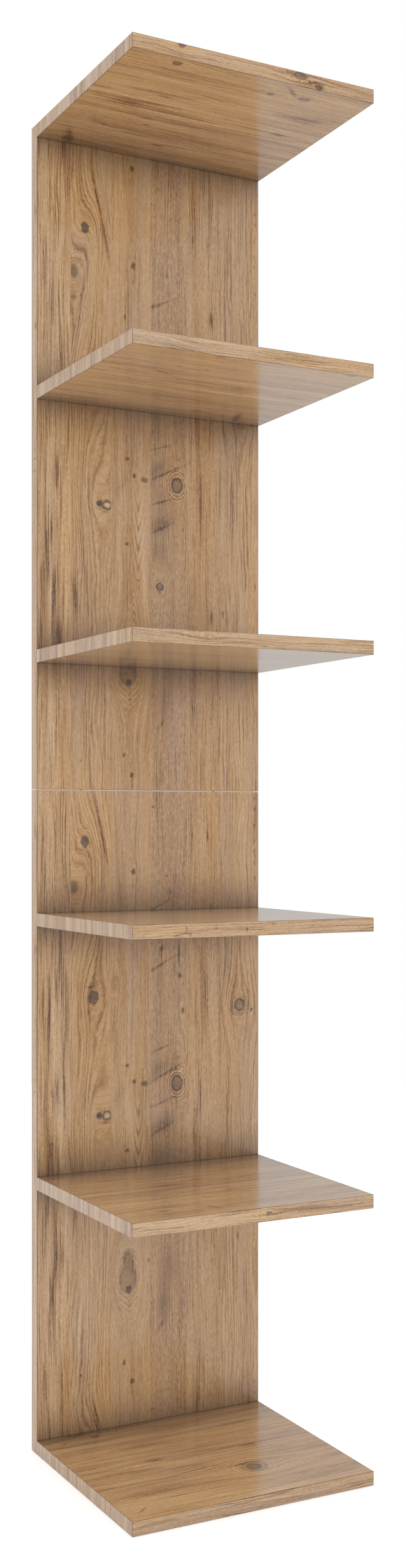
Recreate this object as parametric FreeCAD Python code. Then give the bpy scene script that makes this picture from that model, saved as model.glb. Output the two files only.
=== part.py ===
import FreeCAD, Part
import os

# Wall shelf: two stacked back panels carry six shelves, every board cut from faced board and edge banded.
# Millimetres. X runs to the right seen from the front, Y into the wall, Z up.
# The back lies on the wall plane y = 0, and the bottom edge on z = 0.

# Boards
width = 350.0
depth = 300.0
board = 18.0
bay = 339.0
top_bay = 336.0
lower_shelves = 3
upper_shelves = 3
joint_rise = 167.0
panel_joint = 0.6

# Edge bands
band = 1.0
band_round = 0.5

# Connector screws, driven from behind into the rear edge of a shelf
screw_inset = 65.0
screw_length = 50.0
screw_radius = 3.5
screw_head_radius = 5.0
screw_point = 4.0
socket_width = 4.0
socket_depth = 2.5

# Dowels beside the connector screws
dowel_offset = 32.0
dowel_radius = 4.0
dowel_length = 30.0
dowel_in_panel = 10.0
dowel_chamfer = 1.0

# Keyhole hanger plates
hanger_inset = 45.0
hanger_drop = 80.0
hanger_length = 62.0
hanger_width = 20.0
hanger_corner = 4.0
hanger_screw_spacing = 46.0
keyhole_radius = 5.0
keyhole_slot = 5.2
keyhole_travel = 12.0
pocket_margin = 2.0
pocket_depth = 10.0

# Sheet and screws of the hanger plates
plate = 2.0
plate_screw_length = 15.0
plate_screw_radius = 1.75
plate_screw_head = 3.4
plate_screw_point = 3.0
drive_width = 1.1
drive_reach = 2.0
drive_depth = 1.1

# Locating pins across the joint between the panels
pin_inset = 70.0
pin_length = 40.0
pin_radius = 1.5
pin_chamfer = 0.4

# Room around what is let into a board
bore_room = 0.1
bore_end_room = 1.0
recess_room = 0.2

# Levels and reaches worked out from the sizes above
half_width = width / 2
shelf_count = lower_shelves + upper_shelves
pitch = bay + board
shelf_floors = [step * pitch for step in range(shelf_count - 1)]
shelf_floors.append(shelf_floors[-1] + board + top_bay)
height = shelf_floors[-1] + board
lower_top = shelf_floors[lower_shelves - 1] + board + joint_rise
upper_bottom = lower_top + panel_joint
panel_front = -board
shelf_front = -depth
screw_x = half_width - screw_inset
dowel_x = screw_x + dowel_offset
hanger_x = half_width - hanger_inset
pin_x = half_width - pin_inset
into_board = FreeCAD.Vector(0, -1, 0)
sides = (("left", -1), ("right", 1))
same = 1e-6


def vector(x, y, z):
    """A point or direction."""
    return FreeCAD.Vector(x, y, z)


def block(corner, opposite):
    """A box between two opposite corners."""
    low = vector(min(corner.x, opposite.x), min(corner.y, opposite.y), min(corner.z, opposite.z))
    size = vector(abs(opposite.x - corner.x), abs(opposite.y - corner.y), abs(opposite.z - corner.z))
    return Part.makeBox(size.x, size.y, size.z, low)


def on_plane(edge, axis, level):
    """Does a straight edge lie on the plane where the coordinate called axis has this level?"""
    return all(abs(getattr(vertex.Point, axis) - level) < same for vertex in edge.Vertexes)


def edge_strip(corner, opposite, axis, level, ends_too):
    """An edge band, rounded along its outer face at this level; ends_too rounds that face's ends."""
    strip = block(corner, opposite)
    outer = [edge for edge in strip.Edges if on_plane(edge, axis, level)]
    longest = max(edge.Length for edge in outer)
    picked = [edge for edge in outer if ends_too or edge.Length > longest - same]
    return strip.makeFillet(band_round, picked)


def rod(x, z, y_mouth, length, radius):
    """A cylinder that runs from y_mouth into the board, along minus Y."""
    return Part.makeCylinder(radius, length, vector(x, y_mouth, z), into_board)


def taper(x, z, y_mouth, length, radius_mouth, radius_end):
    """A cone that runs from y_mouth into the board, along minus Y."""
    return Part.makeCone(radius_mouth, radius_end, length, vector(x, y_mouth, z), into_board)


def rounded_plate(x, z, wide, tall, deep, corner):
    """A plate with rounded corners, centred on x and z, from the wall plane into the board."""
    solid = block(vector(x - wide / 2, -deep, z - tall / 2), vector(x + wide / 2, 0, z + tall / 2))
    corners = [edge for edge in solid.Edges if edge.BoundBox.YLength > deep - same]
    return solid.makeFillet(corner, corners)


def slot(x, z, travel, radius, deep):
    """An upright slot with round ends, from the wall plane inwards, its lower end centred on x and z."""
    ends = rod(x, z, 0, deep, radius).fuse(rod(x, z + travel, 0, deep, radius))
    middle = block(vector(x - radius, -deep, z), vector(x + radius, 0, z + travel))
    return ends.fuse(middle).removeSplitter()


def cut_all(solid, tools):
    """The solid less all the tools."""
    return solid.cut(tools).Solids[0]


def save(name, solids):
    """Write one node: a single solid, or a group of like solids."""
    shape = solids[0] if len(solids) == 1 else Part.makeCompound(solids)
    shape.exportStep(os.path.join("parts", name + ".step"))


# Connector screws and dowels

def screw_body(x, z, room, socket):
    """A connector screw with a countersunk head flush with the back; room widens it into its bore."""
    head_depth = screw_head_radius - screw_radius
    tip = screw_radius / 2
    shank = screw_length - head_depth - screw_point
    head = taper(x, z, 0, head_depth, screw_head_radius + room, screw_radius + room)
    body = rod(x, z, -head_depth, shank, screw_radius + room)
    point = taper(x, z, -head_depth - shank, screw_point, screw_radius + room, tip + room)
    solid = head.fuse(body).fuse(point).removeSplitter()
    return solid.cut(hex_socket(x, z)) if socket else solid


def hex_socket(x, z):
    """The six-sided recess in a connector screw's head."""
    corner_radius = socket_width / 3 ** 0.5
    corners = [vector(x, 0, z) + turned(corner_radius, 60 * turn) for turn in range(7)]
    return Part.Face(Part.makePolygon(corners)).extrude(into_board * socket_depth)


def turned(radius, degrees):
    """A vector of this length in the XZ plane, turned from +X."""
    turn = FreeCAD.Rotation(vector(0, -1, 0), degrees)
    return turn.multVec(vector(radius, 0, 0))


def dowel_body(x, z, room, end_room):
    """A dowel across the joint between panel and shelf; the rooms widen and lengthen it into its bore."""
    mouth = panel_front + dowel_in_panel + end_room
    solid = rod(x, z, mouth, dowel_length + 2 * end_room, dowel_radius + room)
    if room:
        return solid
    return solid.makeChamfer(dowel_chamfer, [edge for edge in solid.Edges if edge.Closed])


def shelf_middle(floor):
    """The height of a shelf's fixings: the middle of its thickness."""
    return floor + board / 2


def shelf_bores(floor):
    """The bores for one shelf's screws and dowels, through the panel and into the shelf."""
    z = shelf_middle(floor)
    bores = []
    for side in (-1, 1):
        bores.append(screw_body(side * screw_x, z, bore_room, False))
        bores.append(rod(side * screw_x, z, -screw_length, bore_end_room, screw_radius / 2 + bore_room))
        bores.append(dowel_body(side * dowel_x, z, bore_room, bore_end_room))
    return bores


# Hanger plates let into the back, and the screws that hold them

def plate_screw(x, z, room, drive):
    """A countersunk wood screw flush with the back; room widens it into its bore."""
    head_depth = plate_screw_head - plate_screw_radius
    shank = plate_screw_length - head_depth - plate_screw_point
    tip = plate_screw_radius / 4
    head = taper(x, z, 0, head_depth, plate_screw_head + room, plate_screw_radius + room)
    body = rod(x, z, -head_depth, shank, plate_screw_radius + room)
    point = taper(x, z, -head_depth - shank, plate_screw_point, plate_screw_radius + room, tip + room)
    solid = head.fuse(body).fuse(point).removeSplitter()
    return solid.cut(cross_drive(x, z)) if drive else solid


def cross_drive(x, z):
    """The cross recess in a wood screw's head."""
    bars = []
    for across, up in ((drive_reach, drive_width / 2), (drive_width / 2, drive_reach)):
        bars.append(block(vector(x - across, -drive_depth, z - up), vector(x + across, 0, z + up)))
    return bars[0].fuse(bars[1]).removeSplitter()


def hanger_screw_places(x, z):
    """Where a hanger plate's two screws sit."""
    return [(x, z + side * hanger_screw_spacing / 2) for side in (-1, 1)]


def hanger_plate(x, z):
    """A keyhole plate: the head of the wall screw goes in below and its shank rides up the slot."""
    solid = rounded_plate(x, z, hanger_width, hanger_length, plate, hanger_corner)
    entry = rod(x, z - keyhole_travel / 2, 0, plate, keyhole_radius)
    way_up = slot(x, z - keyhole_travel / 2, keyhole_travel, keyhole_slot / 2, plate)
    bores = [plate_screw(place[0], place[1], bore_room, False) for place in hanger_screw_places(x, z)]
    return cut_all(solid, [entry.fuse(way_up).removeSplitter()] + bores)


def hanger_recess(x, z):
    """The seat of a hanger plate in the panel, with the pocket for the screw's head and the bores."""
    wide = hanger_width + 2 * recess_room
    tall = hanger_length + 2 * recess_room
    seat = rounded_plate(x, z, wide, tall, plate, hanger_corner + recess_room)
    pocket = slot(x, z - keyhole_travel / 2, keyhole_travel, keyhole_radius + pocket_margin, pocket_depth)
    bores = [plate_screw(place[0], place[1], bore_room, False) for place in hanger_screw_places(x, z)]
    return [seat, pocket] + bores


# Locating pins

def joint_middle():
    """The height of the middle of the joint between the panels."""
    return (lower_top + upper_bottom) / 2


def pin_body(x, room, end_room):
    """An upright pin in the edges of both panels; the rooms widen and lengthen it into its bore."""
    reach = pin_length / 2 + end_room
    foot = vector(x, -board / 2, joint_middle() - reach)
    solid = Part.makeCylinder(pin_radius + room, 2 * reach, foot)
    if room:
        return solid
    return solid.makeChamfer(pin_chamfer, [edge for edge in solid.Edges if edge.Closed])


# Back panels

def panel_cuts(floors, top):
    """Everything that is cut out of one panel and its bands."""
    cuts = []
    for floor in floors:
        cuts += shelf_bores(floor)
    for side in (-1, 1):
        cuts += hanger_recess(side * hanger_x, top - hanger_drop)
        cuts.append(pin_body(side * pin_x, bore_room, bore_end_room))
    return cuts


def make_panel(name, bottom, top, floors):
    """One back panel with a band on each of its four edges; the upright bands run the full height."""
    cuts = panel_cuts(floors, top)
    inner = half_width - band
    core = block(vector(-inner, -board, bottom + band), vector(inner, 0, top - band))
    save(name + "_back_panel", [cut_all(core, cuts)])
    for side, sign in sides:
        x = sign * half_width
        strip = edge_strip(vector(sign * inner, -board, bottom), vector(x, 0, top), "x", x, True)
        save(name + "_panel_" + side + "_band", [strip])
    for end, z, inside in (("bottom", bottom, bottom + band), ("top", top, top - band)):
        strip = edge_strip(vector(-inner, -board, inside), vector(inner, 0, z), "z", z, False)
        save(name + "_panel_" + end + "_band", [cut_all(strip, cuts)])


# Shelves

def make_shelf(name, floor):
    """One shelf: a board with its raw rear edge on the panel, banded on the front and both ends."""
    roof = floor + board
    inner = half_width - band
    inner_front = shelf_front + band
    core = block(vector(-inner, inner_front, floor), vector(inner, panel_front, roof))
    save(name, [cut_all(core, shelf_bores(floor))])
    front = vector(-half_width, shelf_front, floor)
    strip = edge_strip(front, vector(half_width, inner_front, roof), "y", shelf_front, True)
    save(name + "_front_band", [strip])
    for side, sign in sides:
        x = sign * half_width
        start = vector(sign * inner, inner_front, floor)
        strip = edge_strip(start, vector(x, panel_front, roof), "x", x, False)
        save(name + "_" + side + "_band", [strip])


def make_shelf_fixings(name, floor):
    """The screws and dowels of one shelf."""
    z = shelf_middle(floor)
    save(name + "_screws", [screw_body(side * screw_x, z, 0, True) for side in (-1, 1)])
    save(name + "_dowels", [dowel_body(side * dowel_x, z, 0, 0) for side in (-1, 1)])


# Back hardware

def make_hangers(name, top):
    """The two hanger plates of one panel and their screws."""
    screws = []
    z = top - hanger_drop
    for side, sign in sides:
        x = sign * hanger_x
        save(name + "_" + side + "_hanger", [hanger_plate(x, z)])
        screws += [plate_screw(place[0], place[1], 0, True) for place in hanger_screw_places(x, z)]
    save(name + "_hanger_screws", screws)


def make_pins():
    """The two locating pins between the panels."""
    save("joining_pins", [pin_body(side * pin_x, 0, 0) for side in (-1, 1)])


os.makedirs("parts", exist_ok=True)
make_panel("lower", 0, lower_top, shelf_floors[:lower_shelves])
make_panel("upper", upper_bottom, height, shelf_floors[lower_shelves:])
for step, shelf_floor in enumerate(shelf_floors):
    shelf_name = "shelf_" + str(shelf_count - step)
    make_shelf(shelf_name, shelf_floor)
    make_shelf_fixings(shelf_name, shelf_floor)
make_hangers("lower", lower_top)
make_hangers("upper", height)
make_pins()
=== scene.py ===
"""Wall shelf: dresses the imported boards, bands and fittings, and sets them in a white studio."""

import logging
import math
from dataclasses import astuple, dataclass, fields, replace
from enum import Enum
from typing import Self

import bpy
import numpy as np
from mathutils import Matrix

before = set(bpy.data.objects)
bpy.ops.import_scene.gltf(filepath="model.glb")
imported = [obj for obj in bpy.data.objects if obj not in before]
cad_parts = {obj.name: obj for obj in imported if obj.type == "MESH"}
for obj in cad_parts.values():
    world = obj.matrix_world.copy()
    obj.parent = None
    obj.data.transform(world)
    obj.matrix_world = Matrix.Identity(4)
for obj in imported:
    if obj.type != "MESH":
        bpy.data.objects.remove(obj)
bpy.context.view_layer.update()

log = logging.getLogger("wall_shelf")

PHOTO_WIDTH = 638
PHOTO_HEIGHT = 2465
MILLIMETRES = 1000.0
TURN = 2.0 * math.pi
FLOAT = "NodeSocketFloat"
COLOUR = "NodeSocketColor"

# Sizes in millimetres. The depth is from the wall to a shelf's front, the pitch is from shelf to shelf.
BOARD = 18.0
WIDTH = 350.0
HEIGHT = 1800.0
DEPTH = 300.0
PITCH = 357.0

# The print: after how many millimetres it comes round again, how far it moves on along the grain for each
# millimetre off a shelf's seen face, what counts as away from a corner, and how its strips are told apart.
DECOR_REPEAT = 843.0
NO_REPEAT = 1.0e6
FACE_STEP = 50.0
FAR = 1000.0
ONE_STRIP = 0.4
ALL_STRIPS = 100.0
STRIP_SCALE = 10.0
STRIP_SEED = 17.3

# How far noise moves the outlines of knots and marks, and the lines of flames, in millimetres.
RAGGED_ACROSS = 5.0
RAGGED_ALONG = 6.0
CALM_ACROSS = 4.0

# How the layers of the grain are weighed in tone, warmth, marks and smudges.
HAIR_MEAN = 0.45
KNOT_WARMTH = 0.25
HUE_SWING = 2.0
MARK_HAIR = 0.9
MARK_MOTTLE = 3.2
MARK_LEVEL = 0.85
SMUDGE_MOTTLE = 5.0
SMUDGE_LEVEL = 0.95

# The lacquer over the print with its fibres, their height in metres, and the cloud in the steel's colour.
LACQUER_IOR = 1.5
FIBRE_ROUGHNESS = 0.05
FIBRE_BUMP = 0.03
FIBRE_HEIGHT = 0.0002
STEEL_SHADE = 0.8

Socket = bpy.types.NodeSocket
Parts = tuple[float, float, float]


class PanelLevel(Enum):
    """Which of the two stacked back panels."""

    LOWER = "lower"
    UPPER = "upper"


class Edge(Enum):
    """Which edge of a board."""

    LEFT = "left"
    RIGHT = "right"
    BOTTOM = "bottom"
    TOP = "top"


def srgb(*parts: float) -> tuple[float, ...]:
    """Turns a colour as it is seen on a screen into scene light.

    Args:
        parts: red, green and blue, 0 to 255.

    Returns:
        The same colour as linear red, green, blue and full alpha.
    """
    levels = np.array(parts) / 255.0
    linear = np.where(levels <= 0.04045, levels / 12.92, ((levels + 0.055) / 1.055) ** 2.4)
    return (*linear.tolist(), 1.0)


class Signal:
    """A value running through one shader tree. Arithmetic with it adds Math nodes."""

    def __init__(self, wiring: "Wiring", socket: Socket) -> None:
        """Keeps the tree and the output that carries the value."""
        self.wiring = wiring
        self.socket = socket

    def __add__(self, other: "Signal | float") -> "Signal":
        """Returns the sum."""
        return self.wiring.math("ADD", self, other)

    def __sub__(self, other: "Signal | float") -> "Signal":
        """Returns the difference."""
        return self.wiring.math("SUBTRACT", self, other)

    def __rsub__(self, other: float) -> "Signal":
        """Returns a plain number less this value."""
        return self.wiring.math("SUBTRACT", other, self)

    def __mul__(self, other: "Signal | float") -> "Signal":
        """Returns the product."""
        return self.wiring.math("MULTIPLY", self, other)

    # A layer that no figure fills is a plain 0.0, so a number may stand first.
    __rmul__ = __mul__

    def __truediv__(self, other: "Signal | float") -> "Signal":
        """Returns the quotient."""
        return self.wiring.math("DIVIDE", self, other)

    def __pow__(self, power: float) -> "Signal":
        """Returns a power."""
        return self.wiring.math("POWER", self, power)


Value = float | tuple[float, ...] | Socket | Signal
Feeds = dict[str | int, Value]
Given = dict[str, Signal]
Point = tuple[Signal, Signal, Signal]


class Wiring:
    """Adds nodes to one shader tree and joins them."""

    def __init__(self, tree: bpy.types.NodeTree) -> None:
        """Keeps the tree that gets the nodes."""
        self.tree = tree

    def add(self, kind: str, inputs: Feeds | None = None, **settings: object) -> bpy.types.Node:
        """Adds a node.

        Args:
            kind: Blender's name of the node type.
            inputs: links or plain values by an input's name or number.
            settings: the node's own properties.

        Returns:
            The new node.
        """
        node = self.tree.nodes.new(kind)
        for name, value in settings.items():
            setattr(node, name, value)
        for label, value in (inputs or {}).items():
            self.feed(node.inputs[label], value)
        return node

    def feed(self, socket: Socket, value: Value) -> None:
        """Links a socket to an output, or sets it to a plain value.

        Args:
            socket: the input.
            value: an output, a signal or a plain value.
        """
        given = value.socket if isinstance(value, Signal) else value
        if isinstance(given, Socket):
            self.tree.links.new(given, socket)
        else:
            socket.default_value = given

    def show(self, shader: bpy.types.Node, kind: str = "ShaderNodeOutputMaterial") -> None:
        """Ends the tree with an output that shows a shader."""
        self.add(kind, {"Surface": shader.outputs[0]})

    def math(self, operation: str, *values: Value) -> Signal:
        """Adds a Math node and returns its result."""
        node = self.add("ShaderNodeMath", dict(enumerate(values)), operation=operation)
        return Signal(self, node.outputs[0])

    def scaled(self, place: Value, scale: Parts) -> Socket:
        """Multiplies a vector by a scale for each axis."""
        node = self.add("ShaderNodeVectorMath", {0: place, 1: scale}, operation="MULTIPLY")
        return node.outputs["Vector"]

    def combine(self, x: Value, y: Value, z: Value) -> Socket:
        """Joins three numbers into a vector."""
        return self.add("ShaderNodeCombineXYZ", {0: x, 1: y, 2: z}).outputs[0]

    def noise(self, place: Socket, scale: Parts, detail: float = 2.0, roughness: float = 0.55) -> Signal:
        """Adds fractal noise stretched over a place.

        Args:
            place: the vector in millimetres.
            scale: noise cells per millimetre on each axis.
            detail: octaves above the first.
            roughness: how strong each octave is against the one before.

        Returns:
            The noise value, about 0.5 in the mean.
        """
        place = self.scaled(place, scale)
        inputs = {"Vector": place, "Scale": 1.0, "Detail": detail, "Roughness": roughness}
        node = self.add("ShaderNodeTexNoise", inputs, noise_dimensions="3D")
        return Signal(self, node.outputs["Fac"])

    def swing(self, noise: Signal, gain: float, start: Value = 0.0) -> Signal:
        """Centres a noise value on zero, scales it by gain and adds it to start."""
        return self.math("MULTIPLY_ADD", noise - 0.5, gain, start)

    def wrapped(self, place: Signal, centre: Value, repeat: Signal) -> Signal:
        """Returns the distance along the grain from the nearest repeat of a centre."""
        return self.math("WRAP", place - centre, repeat * 0.5, repeat * -0.5)

    def bell(self, a: Value, b: Value) -> Signal:
        """Returns exp(-a^2 - b^2)."""
        square = self.math("MULTIPLY_ADD", a, a, b * b)
        return self.math("EXPONENT", square * -1.0)

    def smooth(self, value: Signal, low: float, high: float) -> Signal:
        """Adds a smooth step from 0 to 1.

        Args:
            value: what the step goes by.
            low: where it starts.
            high: where it ends.

        Returns:
            The step, 0 at or below low and 1 at or above high.
        """
        inputs = {"Value": value, "From Min": low, "From Max": high}
        node = self.add("ShaderNodeMapRange", inputs, interpolation_type="SMOOTHSTEP")
        return Signal(self, node.outputs["Result"])

    def ramp(self, value: Signal, stops: list, steps: bool = False) -> Socket:
        """Adds a colour ramp.

        Args:
            value: the place along the ramp, 0 to 1.
            stops: pairs of place and colour.
            steps: whether each colour holds up to the next stop.

        Returns:
            The colour at that place.
        """
        node = self.add("ShaderNodeValToRGB", {"Fac": value})
        node.color_ramp.interpolation = "CONSTANT" if steps else "LINEAR"
        elements = node.color_ramp.elements
        while len(elements) > len(stops):
            elements.remove(elements[-1])
        while len(elements) < len(stops):
            elements.new(0.5)
        for element, (place, colour) in zip(elements, stops):
            element.position = place
            element.color = colour
        return node.outputs["Color"]

    def mix(self, share: Value, first: Value, second: Value, blend: str = "MIX") -> Socket:
        """Mixes two colours and returns the result."""
        inputs = {"Factor": share, 6: first, 7: second}
        return self.add("ShaderNodeMix", inputs, data_type="RGBA", blend_type=blend).outputs[2]


def bare(name: str) -> tuple[bpy.types.Material, Wiring]:
    """Makes a material with an empty tree.

    Args:
        name: what the material is called.

    Returns:
        The new material, and the wiring for its tree.
    """
    made = bpy.data.materials.new(name)
    made.use_nodes = True
    made.node_tree.nodes.clear()
    return made, Wiring(made.node_tree)


@dataclass(frozen=True)
class Figure:
    """Something printed in the decor, in millimetres across and along the grain."""

    @classmethod
    def rows(cls, *rows: tuple[float, ...]) -> tuple[Self, ...]:
        """Returns one figure for each row of values."""
        return tuple(cls(*row) for row in rows)

    @classmethod
    def labels(cls) -> tuple[str, ...]:
        """Returns the names of the values as the sockets of a group have them."""
        return tuple(each.name.replace("_", " ").title() for each in fields(cls))

    def values(self) -> dict[str, float]:
        """Returns the values by the names of the sockets."""
        return dict(zip(self.labels(), astuple(self)))


@dataclass(frozen=True)
class Knot(Figure):
    """A knot. One with nothing dark only bends the grain."""

    centre_across: float
    centre_along: float
    half_width: float
    half_length: float
    dark: float = 0.7
    pull: float = 0.7
    ring_depth: float = 0.0
    fill: float = 0.85
    rim: float = 0.45


@dataclass(frozen=True)
class Mark(Figure):
    """A soft streak or smudge, paler than the wood where dark is negative."""

    centre_across: float
    centre_along: float
    half_width: float
    half_length: float
    dark: float
    slant: float = 0.0


@dataclass(frozen=True)
class Flame(Figure):
    """A run of pointed arches."""

    centre_across: float
    centre_along: float
    slope: float
    spacing: float
    half_width: float
    half_length: float
    depth: float


@dataclass(frozen=True)
class Sweep(Figure):
    """A stretch where the grain of a strip moves sideways."""

    centre_along: float
    half_length: float
    sideways: float


class Effect:
    """A shader node group with named sockets, built once and placed in many materials."""

    name: str = ""
    inputs: tuple[str, ...] = ()
    outputs: tuple[str, ...] = ()
    output_kind: str = FLOAT

    def wire(self, w: Wiring, given: Given) -> Feeds:
        """Builds the inside of the group and returns its results by output name."""
        raise NotImplementedError

    def tree(self) -> bpy.types.NodeTree:
        """Builds the group's tree, or finds it after the first call.

        Returns:
            The tree.
        """
        found = bpy.data.node_groups.get(self.name)
        if found:
            return found
        tree = bpy.data.node_groups.new(self.name, "ShaderNodeTree")
        for label in self.inputs:
            tree.interface.new_socket(name=label, in_out="INPUT", socket_type=FLOAT)
        for label in self.outputs:
            tree.interface.new_socket(name=label, in_out="OUTPUT", socket_type=self.output_kind)
        w = Wiring(tree)
        inside = w.add("NodeGroupInput")
        outside = w.add("NodeGroupOutput")
        results = self.wire(w, {label: Signal(w, inside.outputs[label]) for label in self.inputs})
        for label, result in results.items():
            w.feed(outside.inputs[label], result)
        return tree

    def place(self, w: Wiring, values: Feeds) -> Given:
        """Places the group in a tree.

        Args:
            w: the tree that gets the group.
            values: links or numbers by input name.

        Returns:
            The group's outputs by name.
        """
        node = w.add("ShaderNodeGroup", values, node_tree=self.tree())
        return {label: Signal(w, node.outputs[label]) for label in self.outputs}


class FigureEffect(Effect):
    """A figure printed on one strip, or on all of them, added to what the figures before it left."""

    point = ("Across", "Along", "Plank", "Repeat", "Own Plank", "Plank Reach")
    figure: type[Figure] = Figure

    @property
    def inputs(self) -> tuple[str, ...]:
        """Names the point, the figure's own values, and what it adds to."""
        return self.point + self.figure.labels() + self.outputs

    def where(self, w: Wiring, given: Given) -> tuple[Signal, Signal]:
        """Returns the distance along the grain from the figure's centre, and a mask of its strip."""
        b = w.wrapped(given["Along"], given["Centre Along"], given["Repeat"])
        return b, w.math("COMPARE", given["Plank"], given["Own Plank"], given["Plank Reach"])


class KnotEffect(FigureEffect):
    """One knot: the grain bends round it, its rim and core are dark, and thin rings lie about it.

    With a and b the distances from the centre across and along the grain, the bend is
    minus pull times a times exp(-(a/A)^2 - (b/B)^2), where A and B are a few times the knot's half sizes.
    The core, the rim and the rings go by the radius sqrt((a/width)^2 + (b/length)^2).
    """

    name = "decor_knot"
    figure = Knot
    outputs = ("Shift", "Core", "Rings", "Halo")
    bend_width = (2.2, 4.0)
    bend_length = (3.0, 12.0)
    soft_edge = (0.6, 1.35)
    rim_radius = 0.9
    rim_width = 0.26
    ring_rate = 14.0
    ring_radius = 1.6
    ring_narrowing = 1.5

    def wire(self, w: Wiring, given: Given) -> Feeds:
        """Builds the bend, the core and the rings, and adds them to what came in.

        Args:
            w: the group's tree.
            given: the point, the knot's values, and what the figures before it left.

        Returns:
            The shift, core, rings and halo.
        """
        b, same = self.where(w, given)
        a = given["Across"] - given["Centre Across"]
        wide = w.math("MULTIPLY_ADD", given["Half Width"], *self.bend_width)
        long = w.math("MULTIPLY_ADD", given["Half Length"], *self.bend_length)
        fall = w.bell(a / wide, b / long) * same
        a_core = a / given["Half Width"]
        b_core = b / given["Half Length"]
        radius = w.math("SQRT", w.math("MULTIPLY_ADD", a_core, a_core, b_core * b_core))
        disc = 1.0 - w.smooth(radius, *self.soft_edge)
        rim = w.bell((radius - self.rim_radius) / self.rim_width, 0.0)
        shape = w.math("MAXIMUM", disc * given["Fill"], rim * given["Rim"])
        wave = w.math("SINE", radius * -self.ring_rate)
        near = w.bell((radius - self.ring_radius) * self.ring_narrowing, 0.0) * same
        return {
            "Shift": given["Shift"] - fall * given["Pull"] * a,
            "Core": w.math("MAXIMUM", given["Core"], shape * (given["Dark"] * same)),
            "Rings": given["Rings"] + wave * near * given["Ring Depth"],
            "Halo": w.math("MAXIMUM", given["Halo"], fall),
        }


class MarkEffect(FigureEffect):
    """One soft mark drawn out along the grain: a dark streak, a crack, or a pale streak."""

    name = "decor_mark"
    figure = Mark
    outputs = ("Mark",)

    def wire(self, w: Wiring, given: Given) -> Feeds:
        """Adds dark times exp(-(a - slant b)^2 / width^2 - b^2 / length^2) to what came in.

        Args:
            w: the group's tree.
            given: the point, the mark's values, and the marks before it.

        Returns:
            The marks with this one.
        """
        label = self.outputs[0]
        b, same = self.where(w, given)
        a = given["Across"] - given["Centre Across"] - given["Slant"] * b
        bell = w.bell(a / given["Half Width"], b / given["Half Length"])
        return {label: w.math("MULTIPLY_ADD", bell, given["Dark"] * same, given[label])}


class SmudgeEffect(MarkEffect):
    """The same shape for a cloudy smudge."""

    name = "decor_smudge"
    outputs = ("Smudge",)


class FlameEffect(FigureEffect):
    """Nested pointed arches along an axis of the grain.

    The height along the arch is b minus slope times sqrt(a^2 + rounding), and the thin dark lines are
    a power of its sine.
    """

    name = "decor_flame"
    figure = Flame
    outputs = ("Lines",)
    rounding = 3.0
    thinness = 3.0
    level = 0.3

    def wire(self, w: Wiring, given: Given) -> Feeds:
        """Builds the arches and adds them to the lines that came in.

        Args:
            w: the group's tree.
            given: the point, the flame's values, and the lines before it.

        Returns:
            The lines with these arches.
        """
        b, same = self.where(w, given)
        a = given["Across"] - given["Centre Across"]
        height = b - w.math("SQRT", a * a + self.rounding) * given["Slope"]
        wave = w.math("SINE", height / given["Spacing"] * TURN)
        thin = (wave * 0.5 + 0.5) ** self.thinness
        fall = w.bell(a / given["Half Width"], b / given["Half Length"])
        return {"Lines": given["Lines"] + (self.level - thin) * (fall * same * given["Depth"])}


class SweepEffect(FigureEffect):
    """A stretch of one strip where the grain moves sideways, to drift back over the rest of the repeat."""

    name = "decor_sweep"
    figure = Sweep
    outputs = ("Shift",)

    def wire(self, w: Wiring, given: Given) -> Feeds:
        """Adds sideways times (smooth step of b less one, less b over repeat) to the shift.

        Args:
            w: the group's tree.
            given: the point, the sweep's values, and the shift before it.

        Returns:
            The shift with this sweep.
        """
        b, same = self.where(w, given)
        step = w.smooth(b / given["Half Length"], -1.0, 1.0)
        share = step - 1.0 - b / given["Repeat"]
        return {"Shift": given["Shift"] + share * given["Sideways"] * same}


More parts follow.
